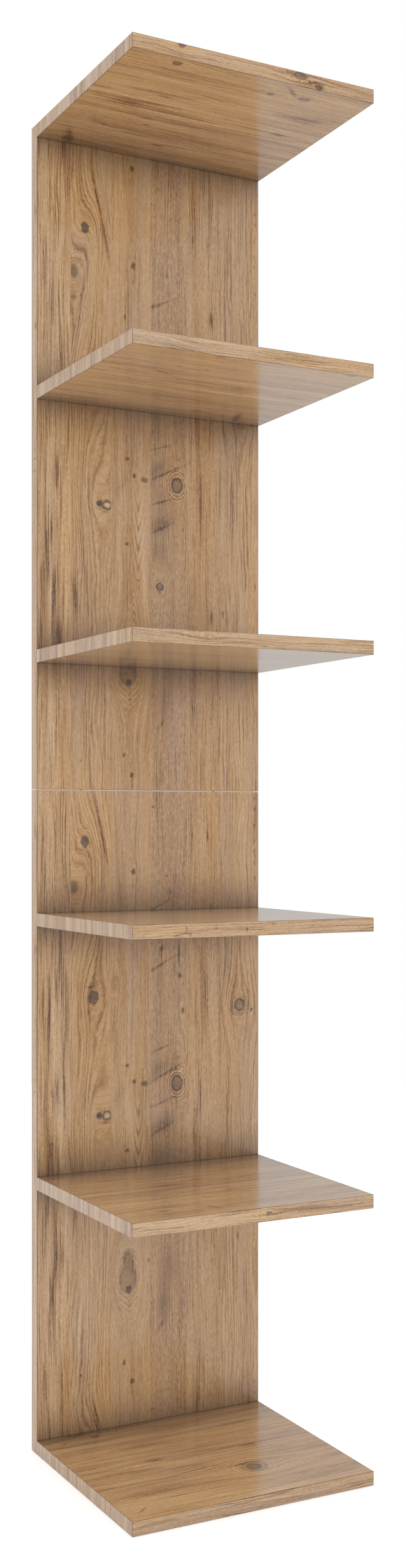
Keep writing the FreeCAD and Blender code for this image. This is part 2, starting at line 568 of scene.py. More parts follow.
class GrainEffect(Effect):
    """The grain itself: streaks of every width, hair lines, growth rings and fibres along the board."""

    name = "decor_grain"
    inputs = ("Across", "Along", "Shift", "Seed", "Ring Width")
    outputs = ("Streak", "Hair", "Growth", "Fibre", "Hue", "Mottle")
    wander = 11.0
    roughness = 1.9
    clustering = 0.5
    hair_edge = (0.48, 0.64)
    ring_wander = 4.5
    ring_mean = 0.375
    ring_patches = (0.25, 0.62)

    def wire(self, w: Wiring, given: Given) -> Feeds:
        """Builds each layer on the bent coordinate. Growth lines are a squared sine, in patches.

        Args:
            w: the group's tree.
            given: the point, the shift, a seed for the strip and the width of a growth ring.

        Returns:
            The layers by name.
        """
        along, seed = given["Along"], given["Seed"]
        plain = w.combine(given["Across"], along, seed)
        wander = w.swing(w.noise(plain, (1 / 55, 1 / 190, 1.0), 1.0), self.wander, given["Across"])
        rough = w.swing(w.noise(plain, (1 / 2.5, 1 / 11, 1.0), 3.0, 0.65), self.roughness, wander)
        across = rough + given["Shift"]
        bent = w.combine(across, along, seed)
        cluster = w.noise(bent, (1 / 11, 1 / 140, 1.0), 2.0)
        fine = w.noise(bent, (1 / 2.0, 1 / 110, 1.0), 3.0, 0.6)
        uneven = w.noise(bent, (1 / 20, 1 / 130, 1.0), 3.0, 0.55)
        phase = w.swing(uneven, self.ring_wander, across / given["Ring Width"])
        ring = (w.math("SINE", phase * TURN) * 0.5 + 0.5) ** 2.0
        return {
            "Streak": w.noise(bent, (1 / 15, 1 / 320, 1.0), 5.0, 0.7),
            "Hair": w.smooth(w.swing(cluster, self.clustering, fine), *self.hair_edge),
            "Growth": (ring - self.ring_mean) * w.smooth(cluster, *self.ring_patches),
            "Fibre": w.noise(bent, (1 / 0.9, 1 / 5, 1.0), 2.0, 0.6),
            "Hue": w.noise(bent, (1 / 30, 1 / 400, 1.0), 2.0),
            "Mottle": w.noise(bent, (1 / 3.6, 1 / 9, 1.0), 4.0, 0.68),
        }


class DecorColour(Effect):
    """Colours of the printed wood, from its tone, its warmth, how dark its knots are and their grit."""

    name = "decor_colour"
    inputs = ("Tone", "Warmth", "Core", "Grit")
    outputs = ("Color",)
    output_kind = COLOUR
    golden = ((104, 69, 40), (149, 106, 64), (195, 152, 101), (220, 184, 137), (238, 211, 172))
    greyer = ((96, 74, 58), (142, 114, 89), (188, 156, 125), (214, 186, 158), (234, 212, 187))
    knot_dark = (42, 30, 24)
    knot_light = (104, 82, 66)
    grit_edge = (0.3, 0.7)

    def wire(self, w: Wiring, given: Given) -> Feeds:
        """Mixes a golden and a greyer ramp by warmth, then lays the knot colour over them.

        Args:
            w: the group's tree.
            given: tone, warmth, how much of a knot is there, and its grit.

        Returns:
            The colour.
        """
        golden, greyer = (
            w.ramp(given["Tone"], [(n / (len(row) - 1), srgb(*parts)) for n, parts in enumerate(row)])
            for row in (self.golden, self.greyer)
        )
        wood = w.mix(given["Warmth"], greyer, golden)
        grit = w.smooth(given["Grit"], *self.grit_edge)
        knot = w.mix(grit, srgb(*self.knot_dark), srgb(*self.knot_light))
        return {"Color": w.mix(given["Core"], wood, knot)}


class CornerShade(Effect):
    """The darker zone where two boards meet and the thin line in the corner itself, by distance.

    Both are painted shade: the zone stands in for the shade that falls where the boards meet, and is made
    warmer as light bounced between brown boards would make it. The line stands in for the dark crease in
    the corner. On a band the line alone is a thin painted shade line along its arris.
    """

    name = "corner_shade"
    inputs = ("Distance", "Depth", "Line Depth", "Line Width")
    outputs = ("Tint",)
    output_kind = COLOUR
    reach = 55.0
    fall_power = 1.4
    green_power = 1.13
    blue_power = 1.25

    def wire(self, w: Wiring, given: Given) -> Feeds:
        """Red is (1 - depth (1 - distance / reach)^power) times the line, green and blue powers of it.

        Args:
            w: the group's tree.
            given: the distance, the depths of the zone and the line, and the line's width.

        Returns:
            A tint to multiply a colour by.
        """
        left = 1.0 - given["Distance"] / self.reach
        fall = w.math("MAXIMUM", left, 0.0) ** self.fall_power
        near = 1.0 - w.smooth(given["Distance"] / given["Line Width"], 0.0, 1.0)
        shade = (1.0 - fall * given["Depth"]) * (1.0 - near * given["Line Depth"])
        return {"Tint": w.combine(shade, shade ** self.green_power, shade ** self.blue_power)}


@dataclass(frozen=True)
class Plank:
    """A strip of the decor from its first edge across the grain: its tone, its layers and its figure."""

    start: float
    tone: float = 0.0
    warmth: float = 0.6
    streak: float = 0.6
    hair: float = 0.5
    mottle: float = 0.1
    growth: float = 0.3
    ring_width: float = 4.5
    knots: tuple[Knot, ...] = ()
    marks: tuple[Mark, ...] = ()
    smudges: tuple[Mark, ...] = ()
    flames: tuple[Flame, ...] = ()
    sweeps: tuple[Sweep, ...] = ()


@dataclass(frozen=True)
class WoodFinish:
    """A printed wood decor under a satin lacquer."""

    planks: tuple[Plank, ...]
    knots: tuple[Knot, ...] = ()
    marks: tuple[Mark, ...] = ()
    repeat: float = NO_REPEAT
    span: float = WIDTH
    seed: float = 0.0
    tone: float = 0.0
    warmth: float = 0.0
    streak_gain: float = 1.2
    hair_gain: float = 0.36
    growth_gain: float = 0.3
    fibre_gain: float = 0.46
    broad_gain: float = 0.0
    mark_gain: float = 1.0
    roughness: float = 0.15
    # Painted shade near the next board and along the arrises: how deep the zone is, and how deep and wide
    # the line is.
    shade_zone_depth: float = 0.5
    line_depth: float = 0.4
    line_width: float = 1.6

    def places(self, w: Wiring, x: Signal, y: Signal, z: Signal) -> Point:
        """Turns a point into places across and along the grain and a distance to the next board."""
        raise NotImplementedError

    def shares(self, w: Wiring, across: Signal) -> Given:
        """Looks up the strip at a place, with stepped ramps that hold three values each.

        Args:
            w: the material's tree.
            across: the place across the grain.

        Returns:
            The strip's number and its own values by name.
        """
        names = ("Tone", "Warmth", "Streak", "Hair", "Growth", "Mottle", "Ring Width", "Plank")
        rows = [
            (p.tone + 0.5, p.warmth, p.streak, p.hair, p.growth, p.mottle, p.ring_width / STRIP_SCALE,
             n / STRIP_SCALE, 0.0)
            for n, p in enumerate(self.planks)
        ]
        found: Given = {}
        for first in range(0, len(names), 3):
            stops = [
                (p.start / self.span, row[first:first + 3] + (1.0,)) for p, row in zip(self.planks, rows)
            ]
            parts = w.add("ShaderNodeSeparateColor", {0: w.ramp(across / self.span, stops, steps=True)})
            found.update((name, Signal(w, part)) for name, part in zip(names[first:], parts.outputs))
        for name in ("Ring Width", "Plank"):
            found[name] = found[name] * STRIP_SCALE
        return found

    def figure(self, w: Wiring, across: Signal, along: Signal, plank: Signal) -> Feeds:
        """Chains the sweeps, knots, marks and flames.

        Args:
            w: the material's tree.
            across, along: the place on the decor.
            plank: the number of the strip at that place.

        Returns:
            The bend of the grain, the knots' cores, rings and halos, marks, smudges, and flames' lines.
        """
        rough = w.combine(across, along, plank)
        plain = {"Across": across, "Along": along, "Plank": plank, "Repeat": self.repeat}
        ragged = {
            **plain, "Across": w.swing(w.noise(rough, (1 / 4, 1 / 5, 7.0), 3.0), RAGGED_ACROSS, across),
            "Along": w.swing(w.noise(rough, (1 / 5, 1 / 6, 3.0), 3.0), RAGGED_ALONG, along),
        }
        waver = w.noise(rough, (1 / 14, 1 / 45, 5.0), 2.0)
        calm = {**plain, "Across": w.swing(waver, CALM_ACROSS, across)}
        layers = ("Shift", "Core", "Rings", "Halo", "Mark", "Smudge", "Lines")
        flow: Feeds = dict.fromkeys(layers, 0.0)
        everywhere = Plank(0.0, knots=self.knots, marks=self.marks)
        strips = [(0.0, ALL_STRIPS, everywhere)]
        strips += [(float(n), ONE_STRIP, p) for n, p in enumerate(self.planks)]
        for number, reach, strip in strips:
            own = {"Own Plank": number, "Plank Reach": reach}
            kinds = (
                (SweepEffect(), plain, strip.sweeps), (KnotEffect(), ragged, strip.knots),
                (MarkEffect(), ragged, strip.marks), (SmudgeEffect(), ragged, strip.smudges),
                (FlameEffect(), calm, strip.flames),
            )
            for effect, place, figures in kinds:
                for each in figures:
                    before = {label: flow[label] for label in effect.outputs}
                    flow.update(effect.place(w, {**place, **own, **before, **each.values()}))
        return flow

    def colour(self, w: Wiring, x: Signal, y: Signal, z: Signal) -> Feeds:
        """Builds the printed colour and the fibres.

        Args:
            w: the material's tree.
            x, y, z: the point in millimetres.

        Returns:
            The colour and the fibre noise.
        """
        across, along, distance = self.places(w, x, y, z)
        strip = self.shares(w, across)
        flow = self.figure(w, across, along, strip["Plank"])
        grain = GrainEffect().place(w, {
            "Across": across, "Along": along, "Shift": flow["Shift"], "Ring Width": strip["Ring Width"],
            "Seed": strip["Plank"] * STRIP_SEED + self.seed,
        })
        tone = w.swing(grain["Hue"], self.broad_gain, strip["Tone"] + self.tone)
        layers = (
            ("Streak", 0.5, self.streak_gain), ("Hair", HAIR_MEAN, -self.hair_gain),
            ("Growth", 0.0, -self.growth_gain), ("Mottle", 0.5, 1.0),
        )
        for layer, middle, gain in layers:
            tone = w.math("MULTIPLY_ADD", (grain[layer] - middle) * gain, strip[layer], tone)
        tone = w.swing(grain["Fibre"], self.fibre_gain, tone)
        broken = grain["Hair"] * MARK_HAIR + w.swing(grain["Mottle"], MARK_MOTTLE, MARK_LEVEL)
        cloudy = flow["Smudge"] * w.swing(grain["Mottle"], SMUDGE_MOTTLE, SMUDGE_LEVEL)
        tone = tone - flow["Mark"] * self.mark_gain * broken - cloudy + flow["Rings"] + flow["Lines"]
        warmth = strip["Warmth"] + self.warmth + flow["Halo"] * KNOT_WARMTH - cloudy
        colour = DecorColour().place(w, {
            "Tone": tone, "Warmth": w.swing(grain["Hue"], HUE_SWING, warmth), "Core": flow["Core"],
            "Grit": grain["Mottle"],
        })["Color"]
        # Painted shade: the print is darkened near the next board and along the arrises, a little warmer in
        # the dark.
        tint = CornerShade().place(w, {
            "Distance": distance, "Depth": self.shade_zone_depth, "Line Depth": self.line_depth,
            "Line Width": self.line_width,
        })["Tint"]
        return {"Color": w.mix(1.0, colour, tint, "MULTIPLY"), "Fibre": grain["Fibre"]}

    def material(self, name: str) -> bpy.types.Material:
        """Builds the finish as a material.

        Args:
            name: what the material is called.

        Returns:
            The new material.
        """
        made, w = bare(name)
        point = w.add("ShaderNodeTexCoord").outputs["Object"]
        parts = w.add("ShaderNodeSeparateXYZ", {0: w.scaled(point, (MILLIMETRES,) * 3)})
        print_on = self.colour(w, *(Signal(w, part) for part in parts.outputs))
        fibre = print_on["Fibre"]
        bump = w.add("ShaderNodeBump", {"Strength": FIBRE_BUMP, "Distance": FIBRE_HEIGHT, "Height": fibre})
        w.show(w.add("ShaderNodeBsdfPrincipled", {
            "Base Color": print_on["Color"], "Normal": bump.outputs["Normal"],
            "Roughness": w.swing(fibre, FIBRE_ROUGHNESS, self.roughness), "IOR": LACQUER_IOR,
            "Coat Weight": 1.0, "Coat Roughness": self.roughness, "Coat IOR": LACQUER_IOR,
        }))
        return made


def from_shelf(w: Wiring, z: Signal) -> Signal:
    """Returns the height above or below the middle of the nearest shelf."""
    lower = w.math("ABSOLUTE", w.math("WRAP", z - BOARD / 2, PITCH / 2, -PITCH / 2))
    return w.math("MINIMUM", lower, w.math("ABSOLUTE", z - (HEIGHT - BOARD / 2)))


def inside(w: Wiring, place: Signal, length: float) -> Signal:
    """Returns how far a place between 0 and length is from the nearer end."""
    return length / 2 - w.math("ABSOLUTE", place - length / 2)


@dataclass(frozen=True)
class PanelDecor(WoodFinish):
    """The decor of the back panels, grain upright."""

    def places(self, w: Wiring, x: Signal, y: Signal, z: Signal) -> Point:
        """Across is x from the left edge, along is z.

        Args:
            w: the material's tree.
            x, y, z: the point in millimetres.

        Returns:
            Across, along, and the distance to the nearest shelf in front.
        """
        off = w.math("MAXIMUM", from_shelf(w, z) - BOARD / 2, 0.0)
        behind = w.math("GREATER_THAN", y, -BOARD / 2)
        return x + WIDTH / 2, z, behind * FAR + off


# Each strip gives its start, tone and warmth, then how much it has of streaks, hair lines, mottle and
# growth lines, and how wide a growth ring is. Rows of a figure follow the fields of its class.
SHELF_PLANKS = (
    Plank(0, -0.02, 0.7, 0.66, 0.46, 0.2, 0.4, 3.4),
    Plank(62, 0, 0.85, 0.6, 0.46, 0.17, 0.45, 3.8),
    Plank(128, 0, 0.8, 0.7, 0.62, 0.14, 0.35, 3.2),
    Plank(190, 0.02, 0.85, 0.56, 0.4, 0.17, 0.5, 4.6),
    Plank(240, 0.02, 0.85, 0.56, 0.4, 0.15, 0.55, 4.8),
)

FRONT_PLANKS = (Plank(0, -0.025, 0.42, 0.55, 0.6, 0.14, 0.6, 3.6),)


@dataclass(frozen=True)
class ShelfDecor(WoodFinish):
    """The decor of one shelf, grain sideways, with its figure on the face at seen_face."""

    planks: tuple[Plank, ...] = SHELF_PLANKS
    span: float = DEPTH
    broad_gain: float = 0.5
    mark_gain: float = 1.4
    roughness: float = 0.185
    seen_face: float = 0.0
    flush: bool = False

    def places(self, w: Wiring, x: Signal, y: Signal, z: Signal) -> Point:
        """Across is the distance from the panel, along is x, moved on for the face that isn't seen.

        Args:
            w: the material's tree.
            x, y, z: the point in millimetres.

        Returns:
            Across, along, and the distance to the panel, far away on a face that is flush with its end.
        """
        across = y * -1.0 - BOARD
        off_face = z - self.seen_face
        along = w.math("MULTIPLY_ADD", off_face, FACE_STEP, x + WIDTH / 2)
        distance = w.math("MAXIMUM", across, 0.0)
        if self.flush:
            other = w.math("GREATER_THAN", w.math("ABSOLUTE", off_face), BOARD / 2)
            distance = other * FAR + distance
        return across, along, distance


@dataclass(frozen=True)
class BandDecor(WoodFinish):
    """The decor of a glued band, with a thin line of painted shade along its arris and no painted shade
    zone.
    """

    shade_zone_depth: float = 0.0
    line_depth: float = 0.5
    line_width: float = 1.0


@dataclass(frozen=True)
class FrontBandDecor(BandDecor):
    """The decor of the band on one shelf's front, grain sideways."""

    planks: tuple[Plank, ...] = FRONT_PLANKS
    span: float = BOARD
    floor: float = 0.0

    def places(self, w: Wiring, x: Signal, y: Signal, z: Signal) -> Point:
        """Across is the height on the band, along is x.

        Args:
            w: the material's tree.
            x, y, z: the point in millimetres.

        Returns:
            Across, along, and the distance to the band's nearest arris.
        """
        across = z - self.floor
        along = x + WIDTH / 2
        return across, along, w.math("MINIMUM", inside(w, across, BOARD), inside(w, along, WIDTH))


@dataclass(frozen=True)
class EndBandDecor(BandDecor):
    """The decor of the bands on the shelves' ends, with short upright grain."""

    span: float = DEPTH

    def places(self, w: Wiring, x: Signal, y: Signal, z: Signal) -> Point:
        """Across is the distance from the panel, along is z, and the distance is to the nearer arris."""
        return y * -1.0 - BOARD, z, BOARD / 2 - from_shelf(w, z)


@dataclass(frozen=True)
class EdgeBandDecor(BandDecor):
    """The decor of the bands on the panels' edges, grain upright."""

    span: float = BOARD

    def places(self, w: Wiring, x: Signal, y: Signal, z: Signal) -> Point:
        """Across is the distance from the wall, along is z, and the distance is to the front arris."""
        across = y * -1.0
        return across, z, BOARD - across


PANEL_PLANKS = (
    Plank(
        0, -0.014, 0.72, 0.75, 0.85, 0.36, 0.4, 4.2,
        marks=Mark.rows(
            (26, 1328, 3, 24, 0.32), (31, 1335, 2, 20, 0.3), (41, 1340, 1.6, 24, 0.24),
            (22, 1256, 2.4, 16, 0.28), (29, 1262, 1.8, 26, 0.24), (12, 1290, 2.4, 55, 0.2),
            (15, 1210, 2.6, 50, 0.24), (33, 1215, 3.2, 45, 0.2), (26, 1165, 3, 40, 0.3),
            (31, 1108, 6, 26, 0.32), (27, 1083, 3.6, 16, 0.26), (24, 1066, 2.6, 22, 0.24),
            (38, 1040, 4, 40, -0.2), (30, 1040, 1.8, 40, -0.16), (36, 1480, 5, 45, 0.15),
            (33, 1565, 1.8, 45, 0.12), (18, 1440, 2.5, 60, 0.13), (24, 1430, 2.5, 45, -0.13),
            (43, 1700, 1.5, 110, 0.13), (38, 1775, 2, 30, 0.14), (46, 1390, 2, 60, 0.12),
            (38, 1250, 2.5, 50, -0.11), (32, 1300, 1.8, 60, -0.14), (41, 1285, 2.2, 80, -0.14),
            (46, 1325, 1.8, 50, -0.1), (36, 1190, 2, 70, -0.17), (44, 1165, 2.2, 80, -0.15),
            (19, 1300, 1.5, 60, -0.13), (20, 1180, 1.5, 60, -0.13),
        ),
        smudges=Mark.rows((9, 1140, 8, 60, 0.13), (22, 1235, 6, 35, 0.1)),
    ),
    Plank(
        50, 0.02, 0.7, 0.5, 0.32, 0.24, 0.8, 5,
        sweeps=Sweep.rows((1690, 70, 24)),
        knots=Knot.rows(
            (72, 1671, 5.2, 7.4, 1, 0.45, 0.08, 0.85, 0.9), (55, 1609, 6.5, 9.5, 0.75, 0.5, 0.1, 0.9, 0.4),
            (72, 1671, 12, 26, 0, 0.5, 0, 0, 0), (56, 1607, 11, 24, 0, 0.5, 0, 0, 0),
            (85, 1457, 12, 26, 0, 0.55, 0, 0, 0), (103, 1292, 15, 32, 0, 0.85, 0, 0, 0),
            (85, 1457, 7, 8.5, 0.95, 0.4, 0.08, 0.85, 1), (94, 1294, 4.5, 4.5, 1, 0.2, 0, 0.95, 0.6),
            (106, 1293, 7.5, 6, 0.9, 0.3, 0.1, 0.1, 1),
        ),
        marks=Mark.rows(
            (93, 1705, 2, 42, 0.42, -0.235), (104, 1655, 2.4, 25, 0.26, -0.2),
            (78, 1655, 1.5, 10, 0.26, -0.4), (56, 1574, 4, 5, 0.15), (66, 1783, 1.2, 1.6, 0.4),
            (57, 1165, 3.2, 26, 0.3, -0.05), (67, 1003, 1.2, 16, 0.2), (104, 1284, 6, 1.6, 0.3),
            (105, 1300, 6, 1.2, 0.25), (106, 1293, 4, 2, -0.3), (80, 1472, 6, 2, 0.22),
            (66, 1470, 8, 14, 0.06), (70, 1435, 9, 8, 0.07), (78, 1080, 2, 80, 0.1),
        ),
    ),
    Plank(
        111, 0.04, 0.58, 0.5, 0.3, 0.26, 0.32, 5,
        knots=Knot.rows(
            (132, 1791, 2.5, 3, 0.75, 0.5), (144.5, 1764, 3.2, 3.8, 0.95, 0.5),
            (146.5, 1629, 3.5, 4.6, 1, 0.7), (118, 1475, 6, 10, 0.38, 0.7, 0.06, 0.6, 0.7),
            (137.5, 1360, 3, 2.5, 0.95, 0.5), (148, 1337, 2.7, 2.9, 0.95, 0.5),
            (164, 1333, 5, 4, 0.85, 0.5), (137, 1242, 3, 2.5, 0.9, 0.4), (154, 1192, 1.8, 2, 0.7, 0.4),
            (138.5, 1063, 12.5, 17, 0.42, 0.9, 0.05, 0.45, 0.9),
            (139.8, 1049, 5, 5.5, 0.95, 0.2, 0, 0.95, 0.2), (137, 1089, 7, 15, 0.55, 0.6, 0.03, 0.85, 0.6),
            (171, 1086, 2.2, 2.6, 0.6, 0.4),
        ),
        marks=Mark.rows(
            (133.5, 1557, 1.3, 4, 0.4), (145, 1752, 1, 9, 0.25), (146, 1611, 0.9, 8, 0.2),
            (133, 1092, 2, 6, 0.3), (145.7, 1086, 1.5, 12, 0.35), (138, 1098, 5, 2, 0.15),
            (127, 1060, 2, 12, 0.16), (150, 1062, 2, 12, 0.16), (141, 1025, 1.5, 14, 0.16),
            (154, 1290, 1.3, 8, 0.16),
        ),
        smudges=Mark.rows((125, 1320, 8, 14, 0.1, 0.6), (138, 1066, 11, 24, 0.16)),
        flames=Flame.rows(
            (147, 1150, -2.6, 10.4, 9, 26, 0.27), (140, 1030, 1, 8, 13, 17, 0.24),
            (154.6, 1248, 5, 28, 8, 55, 0.38),
        ),
    ),
    Plank(
        173, -0.035, 0.36, 0.36, 0.36, 0.62, 0.4, 3,
        knots=Knot.rows(
            (191, 1520.5, 2.7, 3.2, 0.9, 0.4), (225.5, 1432, 2.1, 3.8, 0.9, 0.4),
            (216, 1330, 8.5, 10.5, 0.86, 0.95, 0.2, 0.5, 1),
            (188.5, 1185, 5.2, 5.6, 0.95, 0.9, 0.1, 0.55, 1),
        ),
        marks=Mark.rows(
            (177, 1719.5, 4, 1.3, 0.25), (189, 1582, 3.5, 8, 0.26, 2), (177, 1577, 4, 3, 0.22),
            (195, 1501, 3, 11, 0.24, 1.9), (178, 1492, 3.5, 4, 0.26), (191, 1498, 3, 2, 0.25),
            (219, 1514, 1.5, 17, 0.75), (220, 1482, 2.2, 3.4, 0.7), (211, 1494, 2.2, 8, 0.2),
            (175, 1528, 2.5, 2.2, 0.22), (184, 1420, 1.1, 22, 0.22), (199, 1346, 4, 11, 0.3, 2.15),
            (192, 1305, 5, 6, 0.26, 2.85), (188, 1177, 2.5, 2.5, 0.25), (190, 992, 3, 7, 0.18, 0.6),
            (192, 1268, 4, 8, 0.22, 1.95), (191, 1381, 4.5, 6, 0.2, 2.7), (219, 1367, 4, 2, 0.2),
            (199, 1623, 1.5, 1.8, 0.3), (205, 1600, 4, 4, 0.12), (183, 1750, 2, 60, 0.07),
        ),
        smudges=Mark.rows(
            (191, 1273, 15, 13, 0.22, 0.6), (187, 1231, 13, 18, 0.15), (187, 1352, 12, 12, 0.17, 0.6),
            (203, 1070, 15, 30, 0.14), (195, 1020, 12, 22, 0.15), (202, 1290, 22, 95, 0.07),
        ),
    ),
    Plank(
        231, -0.02, 0.64, 0.42, 0.5, 0.42, 0.35, 3.4,
        marks=Mark.rows(
            (265, 1676, 1.8, 10, 0.26), (241, 1680, 1.2, 5, 0.22), (271, 1571, 3.6, 9, 0.32),
            (254, 1300, 1.4, 40, 0.2), (272, 1145, 3.6, 10, 0.32), (262, 1455, 1.5, 40, 0.22),
            (248, 1420, 2.2, 40, 0.14), (253, 1066, 1.2, 1.2, 0.4), (286, 1032, 1.3, 1.4, 0.35),
            (242, 1255, 2, 12, 0.18), (252, 1225, 2.4, 30, 0.12), (245, 1180, 3, 25, 0.11),
            (241, 1017, 1, 8, 0.2), (258, 1770, 5, 26, 0.08), (246, 1720, 4, 60, 0.07),
            (286, 1340, 2, 60, 0.12),
        ),
        smudges=Mark.rows((256, 1150, 7, 40, 0.1)),
    ),
    Plank(
        287, 0, 0.5, 0.4, 0.42, 0.16, 0.7, 5,
        knots=Knot.rows(
            (318, 1436, 8, 8.5, 0.9, 0.95, 0.12, 0.55, 1), (318, 1436, 14, 15, 0.3, 0.2, 0, 0, 0.9),
            (338.5, 1428, 2.2, 2.4, 0.9, 0.4), (349, 1072, 7, 13, 0.45, 0.6, 0.06, 0.5),
        ),
        marks=Mark.rows(
            (343, 1733, 1.3, 2.4, 0.3), (344, 1717, 1.3, 2.4, 0.3), (343, 1693, 1.3, 2.4, 0.3),
            (343, 1671, 1.3, 2.4, 0.3), (343, 1657, 1.3, 2.4, 0.3), (343, 1640, 1.3, 2.4, 0.3),
            (344, 1617, 1.3, 2.4, 0.25), (292, 1412, 1.3, 28, 0.26, -0.13), (290.5, 1153, 1.7, 5, 0.4),
            (315.5, 1104, 1.5, 5, 0.5), (345, 1195, 1.1, 6, 0.32), (298, 1312, 2.4, 60, 0.14),
            (319, 1434, 4, 1.6, -0.3), (306, 1320, 1.5, 40, 0.1),
        ),
    ),
    Plank(346, -0.02, 0.9),
)

PANEL_FINISH = PanelDecor(planks=PANEL_PLANKS, repeat=DECOR_REPEAT)

SHELF_FINISHES = (
    ShelfDecor(
        seed=3.1, flush=True, tone=-0.055, warmth=0.1,
        knots=Knot.rows(
            (14, 40, 8, 7, 0.65, 0.5, 0.1, 0.6, 0.8), (268, 69, 4.5, 5.5, 0.95, 0.8, 0.1, 0.8, 1),
            (247, 215, 3.2, 5, 0.9, 0.6, 0.06, 0.8, 0.9), (252, 262, 4, 8, 0.85, 0.7, 0.06, 0.7, 1),
        ),
        marks=Mark.rows(
            (20, 39, 9, 10, 0.3, -1.8), (47, 158, 1.5, 7, 0.4), (76, 64, 1.4, 3.5, 0.4),
            (98, 116, 1.8, 4, 0.4), (114, 105, 2.4, 10, 0.27), (147, 60, 6, 22, 0.17),
            (158, 120, 1.7, 120, 0.17), (141, 150, 1.6, 90, 0.13), (136, 170, 1.7, 120, -0.14),
            (152, 100, 1.4, 80, -0.1), (163, 60, 1.5, 50, -0.12), (181, 100, 1.5, 10, 0.35),
            (173, 105, 1.6, 50, -0.13), (226, 70, 2, 70, -0.11), (200, 290, 8, 36, 0.2),
            (263, 238, 3.5, 12, 0.25, -0.8), (147, 291, 2.6, 7, 0.36), (214, 30, 2, 30, 0.12),
        ),
    ),
    ShelfDecor(
        seed=11.7, tone=0.02, warmth=-0.02,
        knots=Knot.rows(
            (37, 227, 4, 9, 0.5, 0.5), (220, 99, 2, 3.5, 0.7, 0.3), (222, 137, 2, 3, 0.6, 0.3),
            (278, 125, 5, 8, 0.6, 0.6), (278, 317, 5, 9, 0.5, 0.6),
        ),
        marks=Mark.rows(
            (28, 297, 11, 9, 0.3, -2), (57, 15, 3, 12, 0.18), (56, 70, 2, 10, 0.16),
            (145, 165, 1.6, 100, -0.13), (149, 200, 1.6, 60, 0.12), (160, 222, 1.8, 10, 0.3),
            (186, 95, 2.2, 18, 0.2, -0.35), (215, 115, 3, 12, 0.13), (178, 280, 1.6, 60, 0.12),
            (152, 310, 3, 28, 0.13),
        ),
    ),
    # The third and fourth shelves have a lighter print: painted light that brightens their faces where they
    # are seen at a grazing angle, so from above they look lighter than the others.
    ShelfDecor(
        seed=23.3, tone=0.16, warmth=0.2,
        marks=Mark.rows(
            (30, 128, 14, 6, 0.22, -2), (155, 140, 7, 16, 0.16), (203, 82, 8, 18, 0.14),
            (10, 60, 8, 20, 0.1),
        ),
    ),
    ShelfDecor(
        seed=31.9, tone=0.2, warmth=0.03,
        marks=Mark.rows((250, 62, 8, 22, 0.1), (60, 200, 12, 20, 0.08)),
    ),
    ShelfDecor(
        seed=43.7, tone=-0.02,
        knots=Knot.rows(
            (4, 152, 4, 10, 0.6, 0.3), (25, 300, 2.5, 5, 0.5, 0.3), (243, 62, 4.5, 9, 0.5, 0.6),
        ),
        marks=Mark.rows(
            (62, 80, 6, 25, 0.14), (98, 165, 1.8, 28, -0.17), (106, 185, 3, 18, 0.2),
            (121, 140, 4, 20, 0.25), (127, 40, 2, 30, -0.11), (118, 25, 2, 20, 0.15),
            (159, 192, 2.2, 12, 0.28), (175, 200, 2.2, 7, 0.3), (197, 150, 1.8, 5, 0.3),
            (243, 80, 2, 10, -0.2), (252, 130, 5, 6, 0.33, 1.3), (228, 242, 2.5, 7, 0.25),
        ),
    ),
    ShelfDecor(
        seed=57.1, flush=True, tone=-0.06, warmth=-0.05,
        knots=Knot.rows(
            (20, 77, 4.5, 6, 0.65, 0.6), (26, 30, 3, 4, 0.6, 0.5), (201, 219, 9, 10, 1, 0.9, 0.06, 0.75, 1),
            (201, 220, 15, 17, 0.5, 0.3, 0.08, 0, 0.9),
        ),
        marks=Mark.rows(
            (5, 55, 3, 12, 0.25), (72, 125, 5, 30, 0.14), (118, 20, 2, 25, 0.19), (122, 105, 2, 20, 0.2),
            (128, 112, 3, 10, 0.35), (133, 85, 1.7, 28, -0.19), (120, 80, 1.5, 30, -0.13),
            (135, 250, 4, 12, 0.22), (140, 262, 2, 20, 0.15), (176, 165, 1.5, 38, 0.26, -0.1),
            (183, 60, 1.4, 60, 0.14), (201, 221, 2, 3, -0.4), (257, 27, 1.5, 6, 0.4, -0.7),
            (218, 60, 1.6, 60, 0.15), (238, 140, 1.7, 70, 0.14), (228, 90, 1.8, 60, -0.11),
            (212, 330, 3, 30, 0.15),
        ),
    ),
)

